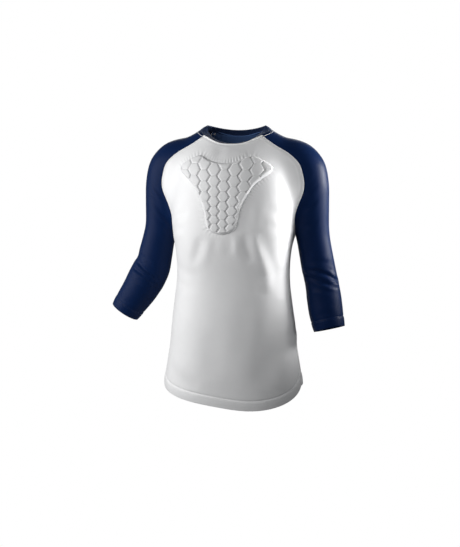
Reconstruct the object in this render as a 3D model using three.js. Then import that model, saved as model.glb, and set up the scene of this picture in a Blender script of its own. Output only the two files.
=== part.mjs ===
// Padded compression shirt: a raglan top that keeps its worn form, with a honeycomb pad on the chest.
// Millimetres, +Z up, front towards -Y, the wearer's left towards +X. The origin is the middle of the
// neck opening, level with the collar seam at the shoulders.

import * as THREE from 'three';

// Cloth and seams
const WALL = 1.5;
const SEAM_GAP = 0.3;
const HEM_DEPTH = 23;
const HEM_STEP = 1.5;
const HEM_EXTRA = 0.8;
const HEM_ROWS = [HEM_DEPTH + HEM_STEP, HEM_DEPTH, HEM_DEPTH / 2, 0];

// Neck: the seam loop seen from above, and the free top edge of the band
const NECK = { half: 89, depth: 57, y: -5 };
const NECK_TOP = { half: 72, depth: 42.5, y: 1.5, sideZ: 17 };
const NECK_TOP_FRONT = { z: -27, power: 1.15 };
const NECK_TOP_BACK = { z: 5, power: 2 };
const COLLAR_WALL = 2.4;
const COLLAR_STEPS = [0, 0.12, 0.45, 0.8, 1];
const COLLAR_BOW = 1.2;
const FRONT_CORNER = -38;
const BACK_CORNER = 42;

// Facing: a half-moon of knit that lines the back neck
const FACING_WALL = 1;
const FACING_ROWS = { ends: 0.45, middle: 2.5 };
const FACING_STEPS = 4;
const FACING_SPACE = 0.45;

// Grid sizes: rows down a raglan seam, rows below it, and columns across each piece
const SEAM_ROWS = 16;
const BODY_ROWS = 15;
const ARM_ROWS = 23;
const FRONT_COLUMNS = 20;
const BACK_COLUMNS = 18;
const SLEEVE_COLUMNS = 22;

// Body sections from the neck to below the hem
const BODY = [
  { z: 40, half: 62, front: -34, back: 30, power: 2 },
  { z: 0, half: 84, front: -46, back: 42, power: 2 },
  { z: -14, half: 97, front: -53, back: 54, power: 2.05 },
  { z: -27, half: 106, front: -62, back: 64, power: 2.1 },
  { z: -45, half: 118, front: -86, back: 75, power: 2.15 },
  { z: -65, half: 130, front: -106, back: 83, power: 2.2 },
  { z: -90, half: 139, front: -119, back: 88, power: 2.3 },
  { z: -130, half: 147, front: -128, back: 92, power: 2.4 },
  { z: -180, half: 151, front: -138, back: 91, power: 2.45 },
  { z: -228, half: 148, front: -144, back: 86, power: 2.45 },
  { z: -264, half: 143, front: -144, back: 80, power: 2.4 },
  { z: -293, half: 139, front: -141, back: 74, power: 2.4 },
  { z: -322, half: 137, front: -138, back: 69, power: 2.35 },
  { z: -352, half: 138, front: -136, back: 67, power: 2.3 },
  { z: -400, half: 144, front: -137, back: 69, power: 2.3 },
  { z: -450, half: 151, front: -140, back: 74, power: 2.3 },
  { z: -513, half: 157, front: -143, back: 79, power: 2.3 },
  { z: -572, half: 167, front: -146, back: 82, power: 2.3 },
  { z: -610, half: 173, front: -147, back: 84, power: 2.3 },
  { z: -660, half: 175, front: -148, back: 85, power: 2.3 },
];

// Centre line and radius of each sleeve, x away from the body; both share the shoulder
const SHOULDER = [
  { x: 60, y: 0, z: -44, r: 42 },
  { x: 107, y: 2, z: -61, r: 46.5 },
  { x: 156, y: 3, z: -75, r: 54 },
  { x: 173, y: 2, z: -115, r: 52.5 },
  { x: 181, y: 1, z: -170, r: 47 },
  { x: 187, y: 0, z: -228, r: 42 },
];
const LEFT_ARM = [
  { x: 192.6, y: 0, z: -264, r: 40.5 },
  { x: 206.5, y: 0, z: -337, r: 41.5 },
  { x: 219, y: -5, z: -396, r: 42.5 },
  { x: 226, y: -12, z: -436, r: 41.8 },
  { x: 235, y: -20, z: -472, r: 37.8 },
];
const RIGHT_ARM = [
  { x: 196.5, y: 0, z: -264, r: 40.5 },
  { x: 207, y: 0, z: -308, r: 43.5 },
  { x: 216, y: -1, z: -338, r: 47 },
  { x: 229.5, y: -4, z: -366, r: 48 },
  { x: 247.5, y: -7, z: -396, r: 45 },
  { x: 267.5, y: -10, z: -425, r: 41.5 },
  { x: 283, y: -12, z: -448.5, r: 37.5 },
];

// Elbow folds: height of the sleeve's middle, place round it (0 at the body, 90 ahead, 180 outside),
// how far each runs round, how much it climbs as it goes, and its width and depth
const LEFT_FOLDS = [
  { z: -332, turn: 70, reach: 75, climb: 10, width: 8, depth: 2.6 },
  { z: -350, turn: 60, reach: 85, climb: 14, width: 8, depth: 3 },
  { z: -368, turn: 55, reach: 70, climb: 16, width: 8, depth: 2.4 },
  { z: -345, turn: 290, reach: 60, climb: -8, width: 10, depth: 2 },
];
const RIGHT_FOLDS = [
  { z: -318, turn: 120, reach: 70, climb: 22, width: 9, depth: 2.2 },
  { z: -338, turn: 100, reach: 85, climb: 24, width: 9, depth: 3.2 },
  { z: -362, turn: 60, reach: 70, climb: 20, width: 9, depth: 2.4 },
  { z: -340, turn: 290, reach: 60, climb: -14, width: 10, depth: 2.2 },
];

// Raglan seams, x away from the body; a row with no y lies straight ahead of the armhole
const FRONT_RAGLAN = [
  { x: 88, z: -20 },
  { x: 102, z: -29 },
  { x: 117, z: -37 },
  { x: 135, z: -47 },
  { x: 157, z: -66 },
  { x: 165, z: -75 },
  { x: 170, z: -95 },
  { x: 175, z: -118 },
  { x: 173, z: -140 },
  { x: 165, z: -158 },
  { x: 157, z: -178 },
  { x: 151, y: -45, z: -202 },
  { x: 149.5, y: -31, z: -224 },
  { x: 148, y: -15, z: -240 },
];
const BACK_RAGLAN = [
  { x: 92, z: -30 },
  { x: 116, z: -50 },
  { x: 138, z: -76 },
  { x: 152, z: -106 },
  { x: 158, z: -140 },
  { x: 157, z: -172 },
  { x: 151, y: 28, z: -202 },
  { x: 149.5, y: 18, z: -224 },
  { x: 148, y: 8, z: -240 },
];
const UNDERARM = { x: 147.3, y: -1 };
const UNDERARM_TRIM = 2;

// How softly sleeve and body run into each other, by height
const BLEND = [
  { z: -60, soft: 40 },
  { z: -120, soft: 40 },
  { z: -180, soft: 26 },
  { z: -215, soft: 16 },
  { z: -245, soft: 10 },
];

// Side seam and hem; as worn, the hem rides up on the wearer's right and sags on the left
const SIDE_SEAM_RUN = 150;
const HEM_SIDE = -600;
const HEM_FRONT = -649;
const HEM_CURVE = 3.4;
const HEM_SWAY = 7;

// How the rows of the body panels sag across the chest, and how far down they follow the neck seam
const CHEST_ROW_DROP = 22;
const CHEST_ROW_SPREAD = 1.15;
const CHEST_ROW_ARCH = 2.2;
const CHEST_NECK_SHARE = 0.35;

// How the rows of a sleeve leave the neck, and the rows that lead its seam under the arm
const SLEEVE_START = 12;
const SLEEVE_NECK_SHARE = 0.4;
const SLEEVE_SEAM_ROWS = 6;

// Chest pad: right half of its outline, from the top middle round to the bottom middle, and how far
// the worn shirt lets it lie towards the wearer's right
const PAD_OUTLINE = [
  { x: 0, z: -72 },
  { x: 14, z: -71 },
  { x: 30, z: -67.5 },
  { x: 42, z: -62.5 },
  { x: 54, z: -56.5 },
  { x: 64, z: -55 },
  { x: 78, z: -59.5 },
  { x: 94, z: -68 },
  { x: 106, z: -75.5 },
  { x: 111.5, z: -83.5 },
  { x: 108, z: -93 },
  { x: 91, z: -106 },
  { x: 72, z: -123 },
  { x: 60, z: -143 },
  { x: 49, z: -163 },
  { x: 42, z: -185 },
  { x: 37.5, z: -207 },
  { x: 33, z: -221 },
  { x: 20, z: -230.5 },
  { x: 0, z: -235 },
];
const PAD_SHIFT = -7;
const CELL_SHIFT = 4;
const PAD_HEIGHT = 6.6;
const PAD_EDGE = 1.4;
const PAD_RIM_DROP = 0.4;
const CELL_CROWN = 0.3;
const SMALL_CELL_DROP = 1;
const PAD_BEVEL = 4.6;
const PAD_SPACE = 0.7;
const PAD_STEP = 13;
const PAD_MERGE = 0.6;
const SMALL_CELL = 70;
const CELL_WIDTH = 24.5;
const CELL_HEIGHT = 26.2;
const CELL_SHRINK = 1.4;
const CELL_NARROWING = 0.04;
const CELL_TOP = -88;
const CELL_COLUMNS = 5;
const CELL_ROWS = { from: -3, to: 8 };
const GROOVE_DEPTH = 2.6;
const GROOVE_HALF = 1.9;

// Finishes
const WHITE_KNIT = new THREE.MeshStandardMaterial({ color: 0xe9eaec, roughness: 0.7, metalness: 0 });
const NAVY_KNIT = new THREE.MeshStandardMaterial({ color: 0x14203f, roughness: 0.55, metalness: 0 });
const PAD_SKIN = new THREE.MeshStandardMaterial({ color: 0xd6d7da, roughness: 0.6, metalness: 0 });

const vec = (x, y, z) => new THREE.Vector3(x, y, z);

// Smooth value of one column of a table whose rows run downwards in z
function tableValue(rows, column, z) {
  const last = rows.length - 1;
  if (z >= rows[0].z) return rows[0][column];
  if (z <= rows[last].z) return rows[last][column];
  let i = 0;
  while (rows[i + 1].z > z) i += 1;
  const slope = (a, b) => (rows[b][column] - rows[a][column]) / (rows[b].z - rows[a].z);
  const here = slope(i, i + 1);
  const before = i > 0 ? (slope(i - 1, i) + here) / 2 : here;
  const after = i + 2 <= last ? (slope(i + 1, i + 2) + here) / 2 : here;
  const span = rows[i + 1].z - rows[i].z;
  const t = (z - rows[i].z) / span;
  const t2 = t * t;
  const t3 = t2 * t;
  return (2 * t3 - 3 * t2 + 1) * rows[i][column] + (t3 - 2 * t2 + t) * span * before
    + (3 * t2 - 2 * t3) * rows[i + 1][column] + (t3 - t2) * span * after;
}

// Middle of the body, front to back, at one height
function bodyMiddle(z) {
  return (tableValue(BODY, 'front', z) + tableValue(BODY, 'back', z)) / 2;
}

// Horizontal distance outside the body's rounded section, less than zero inside
function bodyReach(p) {
  const half = tableValue(BODY, 'half', p.z);
  const front = tableValue(BODY, 'front', p.z);
  const back = tableValue(BODY, 'back', p.z);
  const power = tableValue(BODY, 'power', p.z);
  const y = p.y - (front + back) / 2;
  const away = Math.hypot(p.x, y) + 1e-6;
  const share = (Math.abs(p.x) / half) ** power + (Math.abs(y) / ((back - front) / 2)) ** power;
  return away * (1 - 1 / (share ** (1 / power) + 1e-6));
}

// Slope of a field, by small steps either way
function gradient(field, p) {
  const step = 0.5;
  const at = (dx, dy, dz) => field(vec(p.x + dx, p.y + dy, p.z + dz));
  return vec(
    at(step, 0, 0) - at(-step, 0, 0),
    at(0, step, 0) - at(0, -step, 0),
    at(0, 0, step) - at(0, 0, -step),
  ).divideScalar(2 * step);
}

function bodyField(p) {
  return bodyReach(p) / Math.max(gradient(bodyReach, p).length(), 0.5);
}

// Evenly spaced stations on a sleeve's centre line, each with its place and radius
function sleevePath(rows) {
  const line = new THREE.CatmullRomCurve3(rows.map((row) => vec(row.x, row.y, row.z)), false, 'centripetal');
  const size = new THREE.CatmullRomCurve3(rows.map((row, i) => vec(i, row.r, 0)), false, 'catmullrom');
  const count = 90;
  const stations = [];
  for (let i = 0; i <= count; i += 1) {
    const t = line.getUtoTmapping(i / count);
    stations.push({ place: line.getPoint(t), r: size.getPoint(t).y });
  }
  return { stations, length: line.getLength() };
}

function stationAt(path, distance) {
  const last = path.stations.length - 1;
  const step = THREE.MathUtils.clamp((distance / path.length) * last, 0, last - 1e-6);
  const i = Math.floor(step);
  const a = path.stations[i];
  const b = path.stations[i + 1];
  return {
    place: a.place.clone().lerp(b.place, step - i),
    r: THREE.MathUtils.lerp(a.r, b.r, step - i),
    along: b.place.clone().sub(a.place).normalize(),
  };
}

// Distance outside a sleeve's tube
function tubeField(path, p) {
  let least = Infinity;
  for (let i = 0; i + 1 < path.stations.length; i += 1) {
    const a = path.stations[i];
    const b = path.stations[i + 1];
    const run = b.place.clone().sub(a.place);
    const t = THREE.MathUtils.clamp(p.clone().sub(a.place).dot(run) / run.lengthSq(), 0, 1);
    const away = p.distanceTo(a.place.clone().addScaledVector(run, t)) - THREE.MathUtils.lerp(a.r, b.r, t);
    least = Math.min(least, away);
  }
  return least;
}

// Body and sleeve run together, with a soft fillet where they meet
function shirtField(path, p) {
  const body = bodyField(p);
  const sleeve = tubeField(path, p);
  const soft = Math.max(tableValue(BLEND, 'soft', p.z), 0.01);
  const meet = Math.max(soft - Math.abs(body - sleeve), 0) / soft;
  return Math.min(body, sleeve) - meet * meet * soft / 4;
}

// First place where a ray from inside leaves the form
function castOut(field, from, towards) {
  const way = towards.clone().sub(from).normalize();
  let near = 0;
  let far = 0;
  while (far < 500 && field(from.clone().addScaledVector(way, far)) < 0) {
    near = far;
    far += Math.max(-field(from.clone().addScaledVector(way, far)) * 0.7, 1);
  }
  for (let i = 0; i < 24; i += 1) {
    const middle = (near + far) / 2;
    if (field(from.clone().addScaledVector(way, middle)) < 0) near = middle;
    else far = middle;
  }
  return from.clone().addScaledVector(way, far);
}

// Nearest place on the form
function settle(field, point) {
  const p = point.clone();
  for (let i = 0; i < 8; i += 1) {
    const slope = gradient(field, p);
    p.addScaledVector(slope, -field(p) / Math.max(slope.lengthSq(), 0.2));
  }
  return p;
}

const outward = (field, p) => gradient(field, p).normalize();

// One corner of a piece: its place, and the way out of the cloth there
const corner = (field, place) => ({ place, out: outward(field, place) });

// The neck seam at an angle, 0 at the wearer's left and -90 at the front
function neckCorner(field, degrees) {
  const angle = THREE.MathUtils.degToRad(degrees);
  const x = NECK.half * Math.cos(angle);
  const y = NECK.y + NECK.depth * Math.sin(angle);
  return corner(field, castOut(field, vec(x, y, -100), vec(x, y, 0)));
}

// The same all round the neck, whose halves mirror each other
function neckAround(field, degrees) {
  const right = Math.cos(THREE.MathUtils.degToRad(degrees)) < -1e-9;
  return right ? flip(neckCorner(field, 180 - degrees)) : neckCorner(field, degrees);
}

// A raglan seam from the neck to the underarm, as evenly spaced corners
function raglanSeam(field, rows, neck, underarm, forward) {
  const places = rows.map((row) => {
    if (row.y !== undefined) return settle(field, vec(row.x, row.y, row.z));
    return castOut(field, vec(row.x, 0, row.z), vec(row.x, forward, row.z));
  });
  const line = new THREE.CatmullRomCurve3([neck.place, ...places, underarm.place], false, 'centripetal');
  return line.getSpacedPoints(SEAM_ROWS).map((point, i) => {
    if (i === 0) return neck;
    if (i === SEAM_ROWS) return underarm;
    return corner(field, settle(field, point));
  });
}

// Everything that the pieces of one side share; x runs away from the body on either side
function layOutSide(armRows, folds) {
  const path = sleevePath([...SHOULDER, ...armRows]);
  const field = (p) => shirtField(path, p);
  const under = castOut((p) => -field(p), vec(UNDERARM.x, UNDERARM.y, -300), vec(UNDERARM.x, UNDERARM.y, 0));
  const underarm = { place: under, out: vec(0, 0, -1), trim: UNDERARM_TRIM };
  return {
    path,
    field,
    underarm,
    folds,
    front: raglanSeam(field, FRONT_RAGLAN, neckCorner(field, FRONT_CORNER), underarm, -1),
    back: raglanSeam(field, BACK_RAGLAN, neckCorner(field, BACK_CORNER), underarm, 1),
  };
}

const flip = ({ place, out, trim }) => ({
  place: vec(-place.x, place.y, place.z),
  out: vec(-out.x, out.y, out.z),
  trim,
});

// Where the side seam and the hem lie
function sideSeamY(z, underarm) {
  const t = THREE.MathUtils.smoothstep(underarm.place.z - z, 0, SIDE_SEAM_RUN);
  return THREE.MathUtils.lerp(underarm.place.y, bodyMiddle(z), t);
}

function hemZ(sideways) {
  const sway = HEM_SWAY * Math.sin(Math.PI * sideways);
  return HEM_FRONT + (HEM_SIDE - HEM_FRONT) * Math.abs(sideways) ** HEM_CURVE - sway;
}

// Front or back of the body. Columns run from the wearer's right to the left, rows from neck to hem.
function bodyPanel(sides, which, columns) {
  const sign = which === 'front' ? -1 : 1;
  const neckAngle = which === 'front' ? FRONT_CORNER : BACK_CORNER;
  const fieldAt = (x) => (x < 0 ? (p) => sides.right.field(vec(-p.x, p.y, p.z)) : sides.left.field);
  const grid = [];
  const across = [...Array(columns + 1).keys()].map((i) => (2 * i) / columns - 1);
  const neck = across.map((u) => {
    if (u === -1) return flip(sides.right[which][0]);
    if (u === 1) return sides.left[which][0];
    return neckAround(sides.left.field, sign * 90 - sign * u * (90 - sign * neckAngle));
  });
  const neckMiddle = neck[columns / 2].place;
  const angleOf = (place) => {
    const angle = Math.atan2(sign * (place.y - bodyMiddle(place.z)), place.x);
    return angle < -Math.PI / 2 ? angle + 2 * Math.PI : angle;
  };
  for (let row = 0; row <= SEAM_ROWS; row += 1) {
    const t = row / SEAM_ROWS;
    const right = flip(sides.right[which][row]);
    const left = sides.left[which][row];
    const lowest = sides.left.underarm.place.z - CHEST_ROW_DROP;
    const middleZ = THREE.MathUtils.lerp(neckMiddle.z, lowest, t ** CHEST_ROW_SPREAD);
    const follow = Math.max(1 - t / CHEST_NECK_SHARE, 0) ** 2;
    grid.push(across.map((u, i) => {
      if (u === -1) return right;
      if (u === 1) return left;
      if (row === 0) return neck[i];
      const angle = THREE.MathUtils.lerp(angleOf(right.place), angleOf(left.place), (u + 1) / 2);
      const sideZ = u < 0 ? right.place.z : left.place.z;
      const z = THREE.MathUtils.lerp(middleZ, sideZ, Math.abs(u) ** CHEST_ROW_ARCH);
      const from = vec(0, bodyMiddle(z), z);
      const field = fieldAt(u);
      const guide = castOut(field, from, from.clone().add(vec(Math.cos(angle), sign * Math.sin(angle), 0)));
      guide.x = THREE.MathUtils.lerp(guide.x, neck[i].place.x, follow / 2);
      return corner(field, castOut(field, from, guide));
    }));
  }
  for (let row = 1; row <= BODY_ROWS + HEM_ROWS.length - 1; row += 1) {
    grid.push(across.map((u, i) => {
      const top = grid[SEAM_ROWS][i].place.z;
      const end = hemZ(u);
      const z = row < BODY_ROWS
        ? THREE.MathUtils.lerp(top, end + HEM_ROWS[0], row / BODY_ROWS)
        : end + HEM_ROWS[row - BODY_ROWS];
      const middle = bodyMiddle(z);
      const seamY = sideSeamY(z, sides.left.underarm);
      const seamAngle = Math.atan2(sign * (seamY - middle), tableValue(BODY, 'half', z));
      const turn = THREE.MathUtils.lerp(Math.PI - seamAngle, seamAngle, (u + 1) / 2);
      const from = vec(0, middle, z);
      const place = castOut(bodyField, from, from.clone().add(vec(Math.cos(turn), sign * Math.sin(turn), 0)));
      return corner(bodyField, place);
    }));
  }
  return { grid, thick: turnHem(grid), closedFrom: Infinity, outwardRight: which === 'front' };
}

// Stands the turned hem proud of a panel's last rows, and gives the thickness of each row
function turnHem(grid) {
  const start = grid.length - (HEM_ROWS.length - 1);
  for (const row of grid.slice(start)) {
    for (const point of row) point.place.addScaledVector(point.out, HEM_EXTRA);
  }
  return (row) => (row >= start ? WALL + HEM_EXTRA : WALL);
}

// How far the folds draw a sleeve in, at a length down its middle and a place round it
function foldDepth(path, folds, down, turn) {
  return folds.reduce((sum, fold) => {
    const round = ((THREE.MathUtils.radToDeg(turn) - fold.turn + 540) % 360) - 180;
    const along = down - lengthAtHeight(path, fold.z) + (fold.climb * round) / 90;
    return sum + fold.depth * Math.exp(-((along / fold.width) ** 2) - (round / fold.reach) ** 4);
  }, 0);
}

// A sleeve, modelled on the wearer's left. Columns run from the front seam over the top to the back seam.
function sleevePanel(side, bodySideField) {
  const { path, field, front, back, underarm, folds } = side;
  const grid = [];
  const crotchLength = lengthAtHeight(path, underarm.place.z);
  const frameAt = (distance) => {
    const station = stationAt(path, distance);
    const ahead = vec(0, -1, 0).addScaledVector(station.along, station.along.y).normalize();
    const below = station.along.clone().cross(ahead).normalize();
    return { ...station, ahead, below };
  };
  const across = [...Array(SLEEVE_COLUMNS + 1).keys()].map((i) => i / SLEEVE_COLUMNS);
  const neck = across.map((u) => {
    if (u === 0) return front[0];
    if (u === 1) return back[0];
    return neckCorner(bodySideField, THREE.MathUtils.lerp(FRONT_CORNER, BACK_CORNER, u));
  });
  const rayPoint = (frame, from, to, u) => {
    const look = (place) => {
      const d = place.clone().sub(frame.place).normalize();
      return { turn: Math.atan2(d.dot(frame.ahead), d.dot(frame.below)), lean: d.dot(frame.along) };
    };
    const a = look(from);
    const b = look(to);
    const end = b.turn <= a.turn + 1e-6 ? b.turn + 2 * Math.PI : b.turn;
    const turn = THREE.MathUtils.lerp(a.turn, end, u);
    const lean = a.lean * Math.max(1 - 2 * u, 0) ** 2 + b.lean * Math.max(2 * u - 1, 0) ** 2;
    const flat = Math.sqrt(Math.max(1 - lean * lean, 0));
    const way = frame.below.clone().multiplyScalar(Math.cos(turn) * flat)
      .addScaledVector(frame.ahead, Math.sin(turn) * flat)
      .addScaledVector(frame.along, lean);
    return castOut(field, frame.place, frame.place.clone().add(way));
  };
  const first = frameAt(SLEEVE_START);
  const offset = across.map((u, i) => {
    const place = rayPoint(first, front[0].place, back[0].place, u);
    return neck[i].place.clone().sub(place);
  });
  for (let row = 0; row <= SEAM_ROWS; row += 1) {
    const t = row / SEAM_ROWS;
    const frame = frameAt(THREE.MathUtils.lerp(SLEEVE_START, crotchLength, t));
    const follow = Math.max(1 - t / SLEEVE_NECK_SHARE, 0) ** 2;
    grid.push(across.map((u, i) => {
      if (u === 0) return front[row];
      if (u === 1) return back[row];
      if (row === 0) return neck[i];
      const guide = rayPoint(frame, front[row].place, back[row].place, u).addScaledVector(offset[i], follow);
      return corner(field, castOut(field, frame.place, guide));
    }));
  }
  const tube = (p) => tubeField(path, p);
  for (let row = 1; row <= ARM_ROWS + HEM_ROWS.length - 1; row += 1) {
    const down = row < ARM_ROWS
      ? THREE.MathUtils.lerp(crotchLength, path.length - HEM_ROWS[0], row / ARM_ROWS)
      : path.length - HEM_ROWS[row - ARM_ROWS];
    const frame = frameAt(down);
    const seamTurn = Math.atan2(
      underarm.place.clone().sub(frame.place).dot(frame.ahead),
      underarm.place.clone().sub(frame.place).dot(frame.below),
    ) * Math.max(1 - row / SLEEVE_SEAM_ROWS, 0);
    grid.push(across.map((u) => {
      const turn = seamTurn + u * 2 * Math.PI;
      const way = frame.below.clone().multiplyScalar(Math.cos(turn))
        .addScaledVector(frame.ahead, Math.sin(turn));
      const place = frame.place.clone().addScaledVector(way, frame.r - foldDepth(path, folds, down, turn));
      return { place, out: outward(tube, place) };
    }));
  }
  return { grid, thick: turnHem(grid), closedFrom: SEAM_ROWS, outwardRight: true };
}

// Length along a sleeve's centre line at a height
function lengthAtHeight(path, z) {
  const i = path.stations.findIndex((station) => station.place.z < z);
  return (i / (path.stations.length - 1)) * path.length;
}

// Triangles of a grid; from row closedFrom on, its last column is its first
function gridSurface({ grid, thick, closedFrom, outwardRight }) {
  const columns = grid[0].length;
  const points = [];
  const index = grid.map((row, r) => row.map((point, c) => {
    if (r >= closedFrom && c === columns - 1) return -1;
    points.push({ place: point.place.clone(), out: point.out, trim: point.trim ?? 1, thick: thick(r) });
    return points.length - 1;
  }));
  index.forEach((row) => {
    if (row[columns - 1] === -1) row[columns - 1] = row[0];
  });
  const faces = [];
  for (let r = 0; r + 1 < grid.length; r += 1) {
    for (let c = 0; c + 1 < columns; c += 1) {
      const quad = [index[r][c], index[r + 1][c], index[r + 1][c + 1], index[r][c + 1]];
      if (!outwardRight) quad.reverse();
      faces.push([quad[0], quad[1], quad[2]], [quad[0], quad[2], quad[3]]);
    }
  }
  return { points, faces: faces.filter((face) => new Set(face).size === 3) };
}

// Edges that only one face has, each in its face's direction
function openEdges(faces) {
  const edges = new Map();
  for (const face of faces) {
    face.forEach((a, i) => {
      const b = face[(i + 1) % 3];
      if (edges.has(`${b}_${a}`)) edges.delete(`${b}_${a}`);
      else edges.set(`${a}_${b}`, [a, b]);
    });
  }
  return [...edges.values()];
}

// Draws the edges of a piece in by half a seam, so that sewn pieces lie a seam gap
// apart, and a little more at the underarm, where four seams meet
function trimSeams({ points, faces }) {
  const moves = new Map();
  for (const [a, b] of openEdges(faces)) {
    const run = points[b].place.clone().sub(points[a].place);
    const inwards = points[a].out.clone().add(points[b].out).cross(run).normalize();
    for (const i of [a, b]) moves.set(i, [...(moves.get(i) ?? []), inwards]);
  }
  for (const [i, [a, b]] of moves) {
    const sum = a.clone().add(b);
    const share = Math.min(1 / Math.max(sum.lengthSq(), 1e-6), 1);
    points[i].place.addScaledVector(sum, SEAM_GAP * points[i].trim * share);
  }
}

// A closed solid from an outer skin, its inner skin and the rim between them. A rim's quads are
// split from their higher end, so that the two rims along a seam match.
function solidFrom(outer, inner, faces) {
  const count = outer.length;
  const all = [...outer, ...inner];
  const triangles = [...faces, ...faces.map(([a, b, c]) => [a + count, c + count, b + count])];
  for (const [a, b] of openEdges(faces)) {
    if (outer[a].z > outer[b].z) triangles.push([b, a, b + count], [a, a + count, b + count]);
    else triangles.push([b, a, a + count], [b, a + count, b + count]);
  }
  const geometry = new THREE.BufferGeometry();
  geometry.setAttribute('position', new THREE.Float32BufferAttribute(all.flatMap((p) => [p.x, p.y, p.z]), 3));
  geometry.setIndex(triangles.flat());
  geometry.computeVertexNormals();
  return geometry;
}

function clothGeometry(panel) {
  const surface = gridSurface(panel);
  trimSeams(surface);
  const outer = surface.points.map((point) => point.place);
  const inner = surface.points.map((point) => point.place.clone().addScaledVector(point.out, -point.thick));
  return solidFrom(outer, inner, surface.faces);
}

// Turns a left-hand grid into a right-hand one
function mirrored(panel) {
  return { ...panel, grid: panel.grid.map((row) => row.map(flip)), outwardRight: !panel.outwardRight };
}

// Crew neckband: a doubled strip that rises and leans in from the neck seam
function collarGeometry(field) {
  const angles = [];
  const spread = (from, to, columns) => {
    for (let i = 0; i < columns; i += 2) angles.push(THREE.MathUtils.lerp(from, to, i / columns));
  };
  spread(FRONT_CORNER, BACK_CORNER, SLEEVE_COLUMNS);
  spread(BACK_CORNER, 180 - BACK_CORNER, BACK_COLUMNS);
  spread(180 - BACK_CORNER, 180 - FRONT_CORNER, SLEEVE_COLUMNS);
  spread(180 - FRONT_CORNER, 360 + FRONT_CORNER, FRONT_COLUMNS);
  const base = angles.map((degrees) => neckAround(field, degrees));
  const outer = [];
  const inner = [];
  base.forEach((point, i) => {
    const before = base[(i + base.length - 1) % base.length].place;
    const after = base[(i + 1) % base.length].place;
    const run = after.clone().sub(before).normalize();
    const inwards = point.out.clone().cross(run).normalize();
    if (inwards.dot(vec(-point.place.x, -point.place.y, 0)) < 0) inwards.negate();
    const foot = point.place.clone().addScaledVector(inwards, SEAM_GAP);
    const angle = THREE.MathUtils.degToRad(angles[i]);
    const level = Math.sin(angle) < 0 ? NECK_TOP_FRONT : NECK_TOP_BACK;
    const top = vec(
      NECK_TOP.half * Math.cos(angle),
      NECK_TOP.y + NECK_TOP.depth * Math.sin(angle),
      THREE.MathUtils.lerp(NECK_TOP.sideZ, level.z, Math.abs(Math.sin(angle)) ** level.power),
    );
    const rise = top.clone().sub(foot).normalize();
    const face = run.clone().cross(rise).normalize();
    if (face.dot(point.out) < 0) face.negate();
    for (const t of COLLAR_STEPS) {
      const out = point.out.clone().lerp(face, Math.min(t * 3, 1)).normalize();
      const bow = Math.sin(Math.PI * t) * COLLAR_BOW;
      const place = foot.clone().lerp(top, t).addScaledVector(face, bow);
      outer.push(place);
      inner.push(place.clone().addScaledVector(out, -COLLAR_WALL));
    }
  });
  const steps = COLLAR_STEPS.length;
  const faces = [];
  base.forEach((point, i) => {
    const j = (i + 1) % base.length;
    for (let k = 0; k + 1 < steps; k += 1) {
      const quad = [i * steps + k, j * steps + k, j * steps + k + 1, i * steps + k + 1];
      faces.push([quad[0], quad[1], quad[2]], [quad[0], quad[2], quad[3]]);
    }
  });
  return solidFrom(outer, inner, faces);
}

// Half-moon facing inside the back neck, made from the back's own points, moved in
function facingGeometry(back) {
  const columns = back.grid[0].length;
  const grid = [];
  for (let k = 0; k <= FACING_STEPS; k += 1) {
    grid.push(back.grid[0].map((point, c) => {
      const u = (2 * c) / (columns - 1) - 1;
      const round = Math.sqrt(Math.max(1 - u * u, 0));
      const deep = THREE.MathUtils.lerp(FACING_ROWS.ends, FACING_ROWS.middle, round);
      const row = (k / FACING_STEPS) * deep;
      const r = Math.floor(row);
      const a = back.grid[r][c];
      const b = back.grid[r + 1][c];
      const place = a.place.clone().lerp(b.place, row - r);
      const out = a.out.clone().lerp(b.out, row - r).normalize();
      place.addScaledVector(out, -(WALL + FACING_SPACE));
      return { place, out };
    }));
  }
  return clothGeometry({ ...back, grid, thick: () => FACING_WALL });
}

// Place on the pad's cell pattern: columns sideways, rows downwards and smaller towards the bottom
function cellPlace(column, row) {
  const down = Math.max(row, 0);
  const z = CELL_TOP - CELL_HEIGHT * row + (CELL_SHRINK / 2) * down * down;
  return { x: CELL_SHIFT + column * CELL_WIDTH * (1 - CELL_NARROWING * down), z };
}

// Six corners of a cell, points to left and right
function cellCorners(column, row) {
  const middle = row + (column % 2 === 0 ? 0.5 : 0);
  const third = 1 / 3;
  return [
    cellPlace(column + 2 * third, middle),
    cellPlace(column + third, middle - 0.5),
    cellPlace(column - third, middle - 0.5),
    cellPlace(column - 2 * third, middle),
    cellPlace(column - third, middle + 0.5),
    cellPlace(column + third, middle + 0.5),
  ];
}

// The pad's outline as evenly spaced places, anticlockwise seen from the front
function padOutline() {
  const right = PAD_OUTLINE.map((row) => vec(row.x, 0, row.z));
  const left = PAD_OUTLINE.slice(1, -1).reverse().map((row) => vec(-row.x, 0, row.z));
  const curve = new THREE.CatmullRomCurve3([...right, ...left], true, 'centripetal');
  const count = Math.round(curve.getLength() / PAD_STEP);
  return curve.getSpacedPoints(count).slice(0, -1).map((p) => ({ x: p.x, z: p.z })).reverse();
}

// Moves every place of a closed outline inwards
function insetOutline(places, distance) {
  return places.map((p, i) => {
    const a = places[(i + places.length - 1) % places.length];
    const b = places[(i + 1) % places.length];
    const run = Math.hypot(b.x - a.x, b.z - a.z);
    return { x: p.x - ((b.z - a.z) / run) * distance, z: p.z + ((b.x - a.x) / run) * distance };
  });
}

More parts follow.
